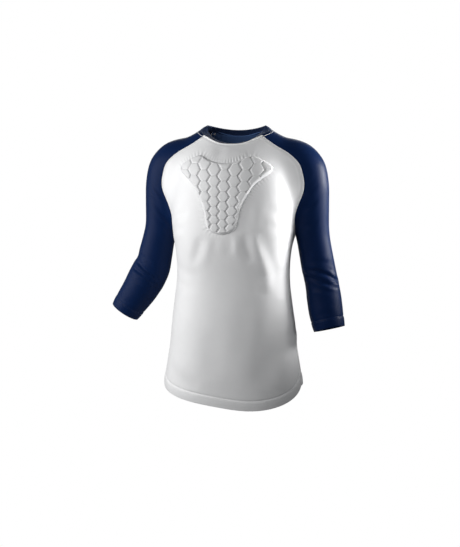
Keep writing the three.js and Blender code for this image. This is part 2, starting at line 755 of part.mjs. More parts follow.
// Part of an outline that lies within a convex cell
function clipToCell(outline, cell) {
  let kept = outline;
  const turn = Math.sign(cell.reduce((sum, p, i) => {
    const q = cell[(i + 1) % cell.length];
    return sum + p.x * q.z - q.x * p.z;
  }, 0));
  cell.forEach((a, i) => {
    const b = cell[(i + 1) % cell.length];
    const side = (p) => turn * ((b.x - a.x) * (p.z - a.z) - (b.z - a.z) * (p.x - a.x));
    const next = [];
    kept.forEach((p, k) => {
      const q = kept[(k + 1) % kept.length];
      const sp = side(p);
      const sq = side(q);
      if (sp >= 0) next.push(p);
      if (sp * sq < 0) {
        const t = sp / (sp - sq);
        next.push({ x: p.x + (q.x - p.x) * t, z: p.z + (q.z - p.z) * t });
      }
    });
    kept = next;
  });
  return kept;
}

function area(places) {
  return places.reduce((sum, p, i) => {
    const q = places[(i + 1) % places.length];
    return sum + (p.x * q.z - q.x * p.z) / 2;
  }, 0);
}

// Moulded pad: flat-topped cells parted by grooves, and a bevel down to a thin edge
function padGeometry(field) {
  const rim = insetOutline(padOutline(), PAD_BEVEL);
  const nodes = [];
  const node = (x, z, height) => {
    const found = nodes.findIndex((n) => Math.hypot(n.x - x, n.z - z) < PAD_MERGE);
    return found >= 0 ? found : nodes.push({ x, z, height }) - 1;
  };
  const faces = [];
  for (let column = -CELL_COLUMNS; column <= CELL_COLUMNS; column += 1) {
    for (let row = CELL_ROWS.from; row <= CELL_ROWS.to; row += 1) {
      const ring = [];
      for (const p of clipToCell(rim, cellCorners(column, row))) {
        const i = node(p.x, p.z, PAD_HEIGHT - GROOVE_DEPTH);
        if (!ring.includes(i)) ring.push(i);
      }
      if (ring.length < 3) continue;
      if (area(ring.map((i) => nodes[i])) < 0) ring.reverse();
      const size = area(ring.map((i) => nodes[i]));
      const middle = { x: 0, z: 0 };
      for (const i of ring) {
        middle.x += nodes[i].x / ring.length;
        middle.z += nodes[i].z / ring.length;
      }
      const keep = 1 - GROOVE_HALF / Math.sqrt(size / Math.PI);
      const tall = size > SMALL_CELL;
      const top = ring.map((i) => (tall ? nodes.push({
        x: THREE.MathUtils.lerp(middle.x, nodes[i].x, keep),
        z: THREE.MathUtils.lerp(middle.z, nodes[i].z, keep),
        height: PAD_HEIGHT,
      }) - 1 : i));
      const crown = tall ? CELL_CROWN : -SMALL_CELL_DROP;
      const peak = nodes.push({ x: middle.x, z: middle.z, height: PAD_HEIGHT + crown }) - 1;
      ring.forEach((a, k) => {
        const m = (k + 1) % ring.length;
        if (tall) faces.push([a, ring[m], top[m]], [a, top[m], top[k]]);
        faces.push([top[k], top[m], peak]);
      });
    }
  }
  // The bevel round the cells
  const after = new Map(openEdges(faces));
  const loop = [[...after.keys()][0]];
  while (loop.length < after.size) loop.push(after.get(loop[loop.length - 1]));
  for (const i of loop) nodes[i].height = PAD_HEIGHT - PAD_RIM_DROP;
  const outline = insetOutline(loop.map((i) => nodes[i]), -PAD_BEVEL);
  const foot = outline.map((p) => nodes.push({ x: p.x, z: p.z, height: PAD_EDGE }) - 1);
  loop.forEach((a, k) => {
    const m = (k + 1) % loop.length;
    faces.push([a, foot[k], foot[m]], [a, foot[m], loop[m]]);
  });
  const laid = nodes.map((n) => {
    const x = n.x + PAD_SHIFT;
    const away = Math.abs(x);
    const found = corner(field, castOut(field, vec(away, -30, n.z), vec(away, -200, n.z)));
    return x < 0 ? flip(found) : found;
  });
  const outer = laid.map((point, i) => {
    return point.place.clone().addScaledVector(point.out, PAD_SPACE + nodes[i].height);
  });
  const inner = laid.map((point) => point.place.clone().addScaledVector(point.out, PAD_SPACE));
  return solidFrom(outer, inner, faces);
}

const leftSide = layOutSide(LEFT_ARM, LEFT_FOLDS);
const rightSide = layOutSide(RIGHT_ARM, RIGHT_FOLDS);
const sides = { left: leftSide, right: rightSide };
const backCloth = bodyPanel(sides, 'back', BACK_COLUMNS);

const shirt = new THREE.Group();
function add(name, geometry, material) {
  const mesh = new THREE.Mesh(geometry, material);
  mesh.name = name;
  shirt.add(mesh);
}

add('front_panel', clothGeometry(bodyPanel(sides, 'front', FRONT_COLUMNS)), WHITE_KNIT);
add('back_panel', clothGeometry(backCloth), WHITE_KNIT);
add('sleeve_left', clothGeometry(sleevePanel(leftSide, leftSide.field)), NAVY_KNIT);
add('sleeve_right', clothGeometry(mirrored(sleevePanel(rightSide, leftSide.field))), NAVY_KNIT);
add('collar', collarGeometry(leftSide.field), NAVY_KNIT);
add('neck_facing', facingGeometry(backCloth), NAVY_KNIT);
add('chest_pad', padGeometry(leftSide.field), PAD_SKIN);

export default shirt;
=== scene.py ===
# Padded compression shirt: white body, navy raglan sleeves and neckband, and a honeycomb
# pad on the chest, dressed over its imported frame. Sizes in mm are turned to metres by MM.

import math

import bmesh
import bpy
import numpy as np
from mathutils import Matrix, Vector
from mathutils.bvhtree import BVHTree


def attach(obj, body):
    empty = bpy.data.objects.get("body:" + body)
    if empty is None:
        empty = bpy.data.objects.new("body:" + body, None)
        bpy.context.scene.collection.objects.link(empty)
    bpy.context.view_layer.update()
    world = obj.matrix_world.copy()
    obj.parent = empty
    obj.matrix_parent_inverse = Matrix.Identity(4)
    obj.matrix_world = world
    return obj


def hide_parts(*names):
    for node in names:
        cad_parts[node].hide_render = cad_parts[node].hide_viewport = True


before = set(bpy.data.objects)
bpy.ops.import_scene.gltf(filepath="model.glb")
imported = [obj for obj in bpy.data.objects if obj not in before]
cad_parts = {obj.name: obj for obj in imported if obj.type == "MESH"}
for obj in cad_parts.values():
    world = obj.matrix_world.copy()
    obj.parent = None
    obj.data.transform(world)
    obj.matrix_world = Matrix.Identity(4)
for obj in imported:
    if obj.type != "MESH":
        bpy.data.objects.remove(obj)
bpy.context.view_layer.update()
scene = bpy.context.scene
MM = 0.001


# Studio
# The shirt hangs in front of plain white. A wide soft box lights one side, two gridded ones on the
# other reach the chest alone, and weak ones fill in from ahead and behind. The pale floor lies far below.
VIEW_TURN = math.radians(11.5)
VIEW_DISTANCE = 2.4
VIEW_ASIDE = -0.0147
AIM_HEIGHT = -0.346
CHEST_HEIGHT = -0.2
LENS = 64.5
FLOOR_HEIGHT = -1.62
FLOOR_SIDE = 1.7

across_view = Vector((math.cos(VIEW_TURN), math.sin(VIEW_TURN), 0))
towards_camera = Vector((math.sin(VIEW_TURN), -math.cos(VIEW_TURN), 0))
aim = across_view * VIEW_ASIDE + Vector((0, 0, AIM_HEIGHT))

camera_data = bpy.data.cameras.new("camera")
camera_data.lens = LENS
camera = bpy.data.objects.new("camera", camera_data)
camera.location = towards_camera * VIEW_DISTANCE + across_view * VIEW_ASIDE
camera.rotation_euler = (aim - camera.location).to_track_quat("-Z", "Y").to_euler()
scene.collection.objects.link(camera)
scene.camera = camera

SOFT_BOXES = [
    {"name": "left_box", "turn": -75, "height": -0.05, "away": 1.2, "wide": 1.2, "tall": 1.1,
     "aim": AIM_HEIGHT, "spread": 180, "power": 13.3},
    {"name": "right_box", "turn": 100, "height": 0.05, "away": 1.2, "wide": 0.5, "tall": 0.35,
     "aim": CHEST_HEIGHT, "spread": 35, "power": 2.0},
    {"name": "right_strip", "turn": 80, "height": -0.15, "away": 1.2, "wide": 0.5, "tall": 0.35,
     "aim": CHEST_HEIGHT, "spread": 35, "power": 0.4},
    {"name": "front_fill", "turn": -35, "height": 0.3, "away": 1.2, "wide": 0.7, "tall": 0.6,
     "aim": AIM_HEIGHT, "spread": 180, "power": 3.9},
    {"name": "back_box", "turn": 175, "height": 0.5, "away": 2.0, "wide": 1.4, "tall": 1.4,
     "aim": AIM_HEIGHT, "spread": 180, "power": 9},
]
for box in SOFT_BOXES:
    turn = VIEW_TURN + math.radians(box["turn"])
    light_data = bpy.data.lights.new(box["name"], "AREA")
    light_data.shape = "RECTANGLE"
    light_data.size = box["wide"]
    light_data.size_y = box["tall"]
    light_data.energy = box["power"]
    light_data.spread = math.radians(box["spread"])
    light = bpy.data.objects.new(box["name"], light_data)
    light.location = (box["away"] * math.sin(turn), -box["away"] * math.cos(turn), box["height"])
    light_aim = Vector((0, 0, box["aim"]))
    light.rotation_euler = (light_aim - light.location).to_track_quat("-Z", "Y").to_euler()
    scene.collection.objects.link(light)

AMBIENT = 0.13
world = bpy.data.worlds.new("white_studio")
world.use_nodes = True
scene.world = world
world_nodes = world.node_tree.nodes
world_nodes.clear()
seen = world_nodes.new("ShaderNodeBackground")
seen.inputs["Color"].default_value = (1, 1, 1, 1)
seen.inputs["Strength"].default_value = 1
glow = world_nodes.new("ShaderNodeBackground")
glow.inputs["Color"].default_value = (0.96, 0.98, 1, 1)
glow.inputs["Strength"].default_value = AMBIENT
path = world_nodes.new("ShaderNodeLightPath")
choose = world_nodes.new("ShaderNodeMixShader")
world_out = world_nodes.new("ShaderNodeOutputWorld")
world.node_tree.links.new(path.outputs["Is Camera Ray"], choose.inputs["Fac"])
world.node_tree.links.new(glow.outputs[0], choose.inputs[1])
world.node_tree.links.new(seen.outputs[0], choose.inputs[2])
world.node_tree.links.new(choose.outputs[0], world_out.inputs["Surface"])
scene.view_settings.view_transform = "Standard"

floor_bm = bmesh.new()
bmesh.ops.create_grid(floor_bm, x_segments=2, y_segments=2, size=FLOOR_SIDE / 2)
bmesh.ops.translate(floor_bm, verts=floor_bm.verts, vec=(0, 0, FLOOR_HEIGHT))
floor_mesh = bpy.data.meshes.new("floor")
floor_bm.to_mesh(floor_mesh)
floor_bm.free()
floor = bpy.data.objects.new("floor", floor_mesh)
scene.collection.objects.link(floor)
floor_material = bpy.data.materials.new("pale_floor")
floor_material.use_nodes = True
floor_surface = floor_material.node_tree.nodes["Principled BSDF"]
floor_surface.inputs["Base Color"].default_value = (0.86, 0.86, 0.86, 1)
floor_surface.inputs["Roughness"].default_value = 0.8
floor_mesh.materials.append(floor_material)


# White body
# Front and back are single pieces of smooth white stretch knit, cut to meet the sleeves at
# raglan seams and each other at the sides, with a turned and stitched curved hem.
RIM_ANGLE = math.radians(62)
SAME_PLACE = 2e-5
KNIT_WALL = 1.2 * MM
BODY_ROUNDING = 3
BODY_RADIUS = 140 * MM
NECK_POINT = Vector((70, -40, -9)) * MM
BACK_NECK_POINT = Vector((66, 33, -2)) * MM
UNDERARM = Vector((147, -1, -249)) * MM
HEM_SIDE = Vector((173, -31, -600)) * MM
CLEAR_OF_SHIRT = 0.5
TURN_LINE = 24
RAGLAN_BAND = 7.5
NECK_BAND = 4.2
RAGLAN_PRESS = 8.4
NECK_PRESS = 4.9
PRESS_DEPTH = 1.0
PRESS_WIDTH = 1.3
# The body's middle, front to back, at four heights
MIDDLE_HEIGHTS = [-600, -350, -100, 0]
MIDDLE_PLACES = [-32, -34, -20, 0]


def outer_skin(node):
    """The outer face of a cloth solid, as quads with no rim and no inner face."""
    bm = bmesh.new()
    bm.from_mesh(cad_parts[node].data)
    bmesh.ops.remove_doubles(bm, verts=bm.verts, dist=SAME_PLACE)
    left = set(bm.faces)
    widest, widest_area = set(), 0
    while left:
        queue = [left.pop()]
        patch = set(queue)
        while queue:
            for edge in queue.pop().edges:
                if len(edge.link_faces) != 2 or edge.calc_face_angle(0) > RIM_ANGLE:
                    continue
                for face in edge.link_faces:
                    if face in left:
                        left.remove(face)
                        patch.add(face)
                        queue.append(face)
        patch_area = sum(face.calc_area() for face in patch)
        if patch_area > widest_area:
            widest, widest_area = patch, patch_area
    bmesh.ops.delete(bm, geom=[face for face in bm.faces if face not in widest], context="FACES")
    bmesh.ops.join_triangles(bm, faces=bm.faces, angle_face_threshold=math.pi,
                             angle_shape_threshold=math.pi)
    return bm


def rounded_skin(name, bm, levels):
    """A piece whose mesh is a skin, rounded by subdivision that keeps its corners."""
    mesh = bpy.data.meshes.new(name)
    bm.to_mesh(mesh)
    bm.free()
    coarse = bpy.data.objects.new(name + "_coarse", mesh)
    scene.collection.objects.link(coarse)
    rounding = coarse.modifiers.new("rounding", "SUBSURF")
    rounding.levels = levels
    rounding.render_levels = levels
    rounding.boundary_smooth = "PRESERVE_CORNERS"
    fine = bpy.data.meshes.new_from_object(coarse.evaluated_get(bpy.context.evaluated_depsgraph_get()))
    bpy.data.objects.remove(coarse)
    fine.name = name
    fine.polygons.foreach_set("use_smooth", np.ones(len(fine.polygons), bool))
    piece = bpy.data.objects.new(name, fine)
    scene.collection.objects.link(piece)
    return piece


def places_of(mesh):
    flat = np.empty(len(mesh.vertices) * 3)
    mesh.vertices.foreach_get("co", flat)
    return flat.reshape(-1, 3)


def normals_of(mesh):
    flat = np.empty(len(mesh.vertices) * 3)
    mesh.vertex_normals.foreach_get("vector", flat)
    return flat.reshape(-1, 3)


def tree_of(mesh):
    return BVHTree.FromPolygons([v.co for v in mesh.vertices], [p.vertices for p in mesh.polygons])


def gap_to_line(places, line, closed=False):
    """Each place's distance to a line of points, and how far along the line it is nearest."""
    ends = np.roll(line, -1, axis=0) if closed else line[1:]
    starts = line if closed else line[:-1]
    least = np.full(len(places), np.inf)
    along = np.zeros(len(places))
    run = 0.0
    for a, b in zip(starts, ends):
        step = b - a
        length = np.linalg.norm(step)
        t = np.clip((places - a) @ step / max(length * length, 1e-12), 0, 1)
        gap = np.linalg.norm(places - a - t[:, None] * step, axis=1)
        nearer = gap < least
        least[nearer] = gap[nearer]
        along[nearer] = run + t[nearer] * length
        run += length
    return least, along, run


def laid_line(tree, side, points):
    """A line of (x, z) points in mm, laid on the front or the back of a piece."""
    line = np.array(points, float)
    steps = np.linspace(0, len(line) - 1, 6 * len(line))
    spread = np.stack([np.interp(steps, np.arange(len(line)), line[:, k]) for k in (0, 1)], axis=1)
    way = 1 if side == "front" else -1
    laid = []
    for x, z in spread * MM:
        hit = tree.ray_cast(Vector((x, -CLEAR_OF_SHIRT * way, z)), Vector((0, way, 0)))[0]
        laid.append(hit or tree.find_nearest(Vector((x, -0.05 * way, z)))[0])
    return np.array(laid)


def move_out(mesh, moves):
    """Moves each point of a piece out along its normal, by its own distance in mm."""
    places = places_of(mesh)
    places += normals_of(mesh) * (moves * MM)[:, None]
    mesh.vertices.foreach_set("co", places.ravel())
    mesh.update()


FADE_STEEPNESS = 4.5
FADE_POWER = 0.8
RIDGE_SHARE = 0.3
RIDGE_AT = 1.9
RIDGE_HALF = 0.9


def crease(mesh, rows):
    """Draws soft troughs into a piece, each with a low ridge beside it. A depth below zero
    stands out as a ridge instead."""
    tree = tree_of(mesh)
    places = places_of(mesh)
    moves = np.zeros(len(places))
    for row in rows:
        gap, along, length = gap_to_line(places, laid_line(tree, row["side"], row["points"]))
        gap = gap / (row["width"] * MM)
        t = along / length
        fade = np.clip(FADE_STEEPNESS * t * (1 - t), 0, 1) ** FADE_POWER
        moves -= row["depth"] * fade * np.exp(-gap ** 2)
        moves += RIDGE_SHARE * row["depth"] * fade * np.exp(-((gap - RIDGE_AT) / RIDGE_HALF) ** 2)
    move_out(mesh, moves)


def open_loops(mesh):
    """Every open edge of a piece, as the points round it in order."""
    bm = bmesh.new()
    bm.from_mesh(mesh)
    left = dict.fromkeys(edge for edge in bm.edges if edge.is_boundary)
    loops = []
    while left:
        edge = next(iter(left))
        del left[edge]
        loop = [edge.verts[0], edge.verts[1]]
        while True:
            onward = next((e for e in loop[-1].link_edges if e in left), None)
            if onward is None:
                break
            del left[onward]
            loop.append(onward.other_vert(loop[-1]))
        if loop[0] == loop[-1]:
            loop.pop()
        loops.append(np.array([v.co[:] for v in loop]))
    bm.free()
    return loops


def open_edge(mesh):
    return max(open_loops(mesh), key=len)


def edge_between(loop, start, end):
    """The shorter stretch of a closed edge between the points nearest to two places."""
    a = int(np.argmin(np.linalg.norm(loop - np.array(start), axis=1)))
    b = int(np.argmin(np.linalg.norm(loop - np.array(end), axis=1)))
    onward = [(a + i) % len(loop) for i in range((b - a) % len(loop) + 1)]
    other = [(a - i) % len(loop) for i in range((a - b) % len(loop) + 1)]
    return loop[min(onward, other, key=len)]


def lay_knit(mesh, turns, heights, radius):
    """UV map of a piece in metres of cloth: round it by the turn of each point, then down it."""
    uv = mesh.uv_layers.new(name="knit")
    loop_verts = np.empty(len(mesh.loops), np.int32)
    mesh.loops.foreach_get("vertex_index", loop_verts)
    u = turns[loop_verts].copy()
    starts = np.empty(len(mesh.polygons), np.int32)
    sizes = np.empty(len(mesh.polygons), np.int32)
    mesh.polygons.foreach_get("loop_start", starts)
    mesh.polygons.foreach_get("loop_total", sizes)
    face_of = np.repeat(np.arange(len(starts)), sizes)
    highest = np.full(len(starts), -np.inf)
    np.maximum.at(highest, face_of, u)
    u[(highest[face_of] - u) > math.pi] += 2 * math.pi
    flat = np.stack([u * radius, heights[loop_verts]], axis=1)
    uv.data.foreach_set("uv", flat.ravel())


def node_maker(material):
    """Short ways to add a node, a sum and a link to a material."""
    tree = material.node_tree

    def add(kind, **inputs):
        node = tree.nodes.new(kind)
        for key, value in inputs.items():
            if hasattr(value, "is_output"):
                tree.links.new(value, node.inputs[key.replace("_", " ")])
            else:
                node.inputs[key.replace("_", " ")].default_value = value
        return node

    def sum_of(operation, *values):
        node = tree.nodes.new("ShaderNodeMath")
        node.operation = operation
        for i, value in enumerate(values):
            if hasattr(value, "is_output"):
                tree.links.new(value, node.inputs[i])
            else:
                node.inputs[i].default_value = value
        return node.outputs[0]

    return add, sum_of


ROWS_PER_WALE = 1.25
STITCH_SLANT = 1.3
SLUB_SCALE = 55.0
CLOUD_SCALE = 6.0
DARKEST = 0.93
LIGHTEST = 1.06
BUMP_HEIGHT = 0.6 * MM


def knit_cloth(name, colour, roughness, wale, relief, gloss=0.5, sheen=0.0, sheen_tint=(1, 1, 1, 1)):
    """A jersey knit whose stitches run in small V shapes down the knit UV map."""
    material = bpy.data.materials.new(name)
    material.use_nodes = True
    tree = material.node_tree
    add, sum_of = node_maker(material)
    surface = tree.nodes["Principled BSDF"]
    surface.inputs["Roughness"].default_value = roughness
    surface.inputs["Specular IOR Level"].default_value = gloss
    surface.inputs["Sheen Weight"].default_value = sheen
    surface.inputs["Sheen Roughness"].default_value = 0.45
    surface.inputs["Sheen Tint"].default_value = sheen_tint

    uv = add("ShaderNodeUVMap")
    uv.uv_map = "knit"
    split = add("ShaderNodeSeparateXYZ", Vector=uv.outputs["UV"])
    column = sum_of("MULTIPLY", split.outputs["X"], 1 / wale)
    row = sum_of("MULTIPLY", split.outputs["Y"], ROWS_PER_WALE / wale)
    aside = sum_of("ABSOLUTE", sum_of("SUBTRACT", sum_of("FRACT", column), 0.5))
    slant = sum_of("SUBTRACT", row, sum_of("MULTIPLY", aside, STITCH_SLANT))
    yarn = sum_of("SINE", sum_of("MULTIPLY", slant, 2 * math.pi))
    ridge = sum_of("SINE", sum_of("MULTIPLY", aside, 2 * math.pi))
    stitch = sum_of("MULTIPLY", sum_of("MULTIPLY_ADD", yarn, 0.35, 0.65), ridge)

    place = add("ShaderNodeTexCoord")
    spot = place.outputs["Object"]
    slub = add("ShaderNodeTexNoise", Vector=spot, Scale=SLUB_SCALE, Detail=3.0, Roughness=0.55)
    cloud = add("ShaderNodeTexNoise", Vector=spot, Scale=CLOUD_SCALE, Detail=2.0, Roughness=0.5)
    cloud_part = sum_of("MULTIPLY", cloud.outputs["Fac"], 0.7)
    tone = sum_of("ADD", cloud_part, sum_of("MULTIPLY", slub.outputs["Fac"], 0.3))
    tint = add("ShaderNodeMix")
    tint.data_type = "RGBA"
    tree.links.new(tone, tint.inputs[0])
    tint.inputs[6].default_value = tuple(c * DARKEST for c in colour) + (1,)
    tint.inputs[7].default_value = tuple(min(c * LIGHTEST, 1) for c in colour) + (1,)
    tree.links.new(tint.outputs[2], surface.inputs["Base Color"])
    height = sum_of("MULTIPLY_ADD", slub.outputs["Fac"], 0.6, stitch)
    bump = add("ShaderNodeBump", Height=height, Strength=relief, Distance=BUMP_HEIGHT)
    tree.links.new(bump.outputs["Normal"], surface.inputs["Normal"])
    return material


def dress(piece, node, material, wall):
    """Gives a cloth its wall and finish, hangs it from the root and hides the imported part it stands in
    for.
    """
    shell = piece.modifiers.new("wall", "SOLIDIFY")
    shell.thickness = wall
    shell.offset = -1
    piece.data.materials.append(material)
    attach(piece, "root")
    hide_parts(node)


white_knit = knit_cloth("white_knit", (0.84, 0.84, 0.845), 0.42, 1.4 * MM, 0.15)

PAD_OUTLINE = [
    (0, -72), (14, -71), (30, -67.5), (42, -62.5), (54, -56.5), (64, -55), (78, -59.5), (94, -68),
    (106, -75.5), (111.5, -83.5), (108, -93), (91, -106), (72, -123), (60, -143), (49, -163),
    (42, -185), (37.5, -207), (33, -221), (20, -230.5), (0, -235),
]
PAD_SHIFT = -7
OUTLINE_STEP = 1.5


def rounded_outline(half, step):
    """A closed outline through the points of its right half and their mirror images, in mm."""
    points = np.array(half + [(-x, z) for x, z in half[-2:0:-1]], float)
    count = len(points)
    dense = []
    for i in range(count):
        p0, p1, p2, p3 = (points[(i + k) % count] for k in (-1, 0, 1, 2))
        for t in np.linspace(0, 1, 24, endpoint=False):
            dense.append(0.5 * (2 * p1 + (p2 - p0) * t + (2 * p0 - 5 * p1 + 4 * p2 - p3) * t * t
                                + (3 * p1 - p0 - 3 * p2 + p3) * t ** 3))
    dense = np.array(dense)
    lengths = np.linalg.norm(np.roll(dense, -1, axis=0) - dense, axis=1)
    run = np.concatenate([[0], np.cumsum(lengths)])
    stops = np.linspace(0, run[-1], int(run[-1] / step), endpoint=False)
    closed = np.vstack([dense, dense[:1]])
    return np.stack([np.interp(stops, run, closed[:, k]) for k in (0, 1)], axis=1)


pad_edge = rounded_outline(PAD_OUTLINE, OUTLINE_STEP) + (PAD_SHIFT, 0)

FRONT_CREASES = [
    {"side": "front", "points": [(28, -236), (30, -258), (30, -284)], "width": 8, "depth": -1.2},
    {"side": "front", "points": [(46, -226), (52, -268), (62, -304)], "width": 12, "depth": 2.9},
    {"side": "front", "points": [(66, -232), (76, -270), (94, -326), (100, -376)],
     "width": 14, "depth": -3.0},
    {"side": "front", "points": [(58, -150), (54, -190), (47, -232)], "width": 13, "depth": 1.8},
    {"side": "front", "points": [(-54, -242), (-66, -280), (-80, -312)], "width": 12, "depth": 1.7},
    {"side": "front", "points": [(-30, -240), (-40, -272), (-50, -304)], "width": 12, "depth": -0.5},
    {"side": "front", "points": [(6, -244), (6, -264), (8, -290)], "width": 8, "depth": 0.4},
    {"side": "front", "points": [(-18, -240), (-22, -258), (-26, -280)], "width": 8, "depth": 0.35},
    {"side": "front", "points": [(-141, -214), (-118, -196), (-88, -182)], "width": 11, "depth": 1.6},
    {"side": "front", "points": [(-144, -232), (-122, -226), (-96, -224)], "width": 10, "depth": 1.2},
    {"side": "front", "points": [(142, -210), (120, -190), (94, -174)], "width": 11, "depth": 0.9},
    {"side": "front", "points": [(144, -230), (124, -222), (100, -214)], "width": 10, "depth": 0.6},
    {"side": "front", "points": [(-128, -322), (-98, -334), (-62, -338)], "width": 14, "depth": 1.2},
    {"side": "front", "points": [(130, -318), (104, -332), (72, -340)], "width": 14, "depth": 1.0},
    {"side": "front", "points": [(-132, -356), (-96, -364), (-66, -360)], "width": 12, "depth": 0.9},
    {"side": "front", "points": [(-150, -560), (-112, -590), (-64, -604)], "width": 16, "depth": 1.3},
    {"side": "front", "points": [(124, -392), (110, -480), (86, -600)], "width": 26, "depth": 3.4},
    {"side": "front", "points": [(162, -430), (150, -510), (128, -606)], "width": 22, "depth": -3.2},
    {"side": "front", "points": [(-40, -470), (-30, -520), (-26, -580)], "width": 24, "depth": 1.2},
    {"side": "front", "points": [(52, -380), (58, -450), (60, -540)], "width": 28, "depth": 1.6},
    {"side": "front", "points": [(-16, -34), (-22, -48), (-26, -64)], "width": 12, "depth": 1.2},
    {"side": "front", "points": [(36, -34), (42, -46), (48, -54)], "width": 11, "depth": 1.1},
]
BACK_CREASES = [
    {"side": "back", "points": [(-98, -296), (-40, -316), (22, -312), (84, -292)],
     "width": 13, "depth": 1.8},
    {"side": "back", "points": [(-70, -336), (-16, -350), (52, -344), (104, -322)],
     "width": 14, "depth": 1.6},
    {"side": "back", "points": [(-110, -352), (-62, -374), (-8, -382)], "width": 13, "depth": 1.1},
    {"side": "back", "points": [(30, -382), (76, -372), (120, -350)], "width": 14, "depth": 1.0},
    {"side": "back", "points": [(-136, -196), (-104, -214), (-78, -244)], "width": 11, "depth": 1.2},
    {"side": "back", "points": [(138, -190), (108, -212), (84, -240)], "width": 12, "depth": 1.1},
    {"side": "back", "points": [(-118, -92), (-92, -128), (-80, -168)], "width": 14, "depth": 0.9},
    {"side": "back", "points": [(120, -94), (94, -126), (84, -160)], "width": 13, "depth": 0.9},
    {"side": "back", "points": [(-30, -430), (-22, -500), (-28, -570)], "width": 24, "depth": 1.2},
    {"side": "back", "points": [(58, -440), (62, -500), (56, -560)], "width": 22, "depth": 1.0},
    {"side": "back", "points": [(-140, -540), (-104, -578), (-60, -598)], "width": 16, "depth": 0.9},
]
PUCKER_FRONT = -0.04
PUCKER_AT = 3
PUCKER_REACH = 6.875
PUCKER_DEPTH = 0.7
PUCKER_PITCH = 7.3
PUCKER_WANDER = 17
PUCKER_SWELL = 29
HEM_PUFF = 0.5
HEM_GROOVE = 1.1
HEM_RIPPLE = 0.25
HEM_RIPPLE_SHORT = 9
HEM_RIPPLE_LONG = 31
TURN_MIDDLE = 11
TURN_HALF = 8
TURN_STITCH_HALF = 2.2


def pucker(mesh):
    """Small gathers in the knit round the pad, where the pad is bonded to it."""
    places = places_of(mesh)
    ahead = places[:, 1] < PUCKER_FRONT
    gap, along = gap_to_line(places[:, [0, 2]] / MM, pad_edge, closed=True)[:2]
    wave = np.sin(2 * math.pi * along / PUCKER_PITCH + 1.3 * np.sin(along / PUCKER_WANDER))
    strength = 0.55 + 0.45 * np.sin(along / PUCKER_SWELL + 0.8)
    near = np.exp(-((gap - PUCKER_AT) / PUCKER_REACH) ** 2) * ahead
    move_out(mesh, PUCKER_DEPTH * wave * strength * near)


def turned_edge(gap, puff, groove):
    """How far a turned edge stands out, and is drawn in at its stitches, by the distance to it."""
    swell = puff * np.exp(-((gap - TURN_MIDDLE) / TURN_HALF) ** 2)
    return swell - groove * np.exp(-((gap - TURN_LINE) / TURN_STITCH_HALF) ** 2)


def hem_roll(mesh, edge):
    """Puffs the turned hem a little and draws in its stitch line."""
    gap, along = (part / MM for part in gap_to_line(places_of(mesh), edge)[:2])
    ripple = 1 + HEM_RIPPLE * np.sin(along / HEM_RIPPLE_SHORT) * np.sin(along / HEM_RIPPLE_LONG)
    move_out(mesh, turned_edge(gap, HEM_PUFF, HEM_GROOVE) * ripple)


def press_line(mesh, line, beside):
    """Presses a narrow groove into a cloth, a little way in from one of its edges."""
    gap = gap_to_line(places_of(mesh), line)[0] / MM
    move_out(mesh, -PRESS_DEPTH * np.exp(-((gap - beside) / PRESS_WIDTH) ** 2))


def mirrored_place(place):
    return Vector((-place[0], place[1], place[2]))


def body_cloth(name, node, creases, neck, side):
    """Front or back of the body, with its creases, hem and the places of its seams."""
    piece = rounded_skin(name, outer_skin(node), BODY_ROUNDING)
    mesh = piece.data
    crease(mesh, creases)
    edge = open_edge(mesh)
    hem = edge_between(edge, HEM_SIDE, mirrored_place(HEM_SIDE))
    hem_roll(mesh, hem)
    edge = open_edge(mesh)
    for start, end in ((neck, UNDERARM), (mirrored_place(neck), mirrored_place(UNDERARM))):
        press_line(mesh, edge_between(edge, start, end), RAGLAN_PRESS)
    press_line(mesh, edge_between(edge, neck, mirrored_place(neck)), NECK_PRESS)
    places = places_of(mesh)
    middle = np.interp(places[:, 2] / MM, MIDDLE_HEIGHTS, MIDDLE_PLACES) * MM
    lean = side * (places[:, 1] - middle)
    lay_knit(mesh, np.arctan2(places[:, 0], lean), places[:, 2], BODY_RADIUS)
    edge = open_edge(mesh)
    lines = {
        "left_raglan": edge_between(edge, neck, UNDERARM),
        "right_raglan": edge_between(edge, mirrored_place(neck), mirrored_place(UNDERARM)),
        "neck": edge_between(edge, neck, mirrored_place(neck)),
        "left_side": edge_between(edge, UNDERARM, HEM_SIDE),
        "right_side": edge_between(edge, mirrored_place(UNDERARM), mirrored_place(HEM_SIDE)),
        "hem": edge_between(edge, HEM_SIDE, mirrored_place(HEM_SIDE)),
    }
    return piece, lines


front_cloth, front_lines = body_cloth("front_cloth", "front_panel", FRONT_CREASES, NECK_POINT, -1)
front_bare = tree_of(front_cloth.data)
pucker(front_cloth.data)
back_cloth, back_lines = body_cloth("back_cloth", "back_panel", BACK_CREASES, BACK_NECK_POINT, 1)

dress(front_cloth, "front_panel", white_knit, KNIT_WALL)
dress(back_cloth, "back_panel", white_knit, KNIT_WALL)


# Sleeves
# Each sleeve is one piece of navy stretch knit from the neck to a turned cuff. It bunches a
# little in the crook of the elbow, and pulls in fans from the armhole.
SLEEVE_ROUNDING = 2
SLEEVE_RADIUS = 42 * MM
CUFF_PUFF = 0.35
CUFF_GROOVE = 0.9

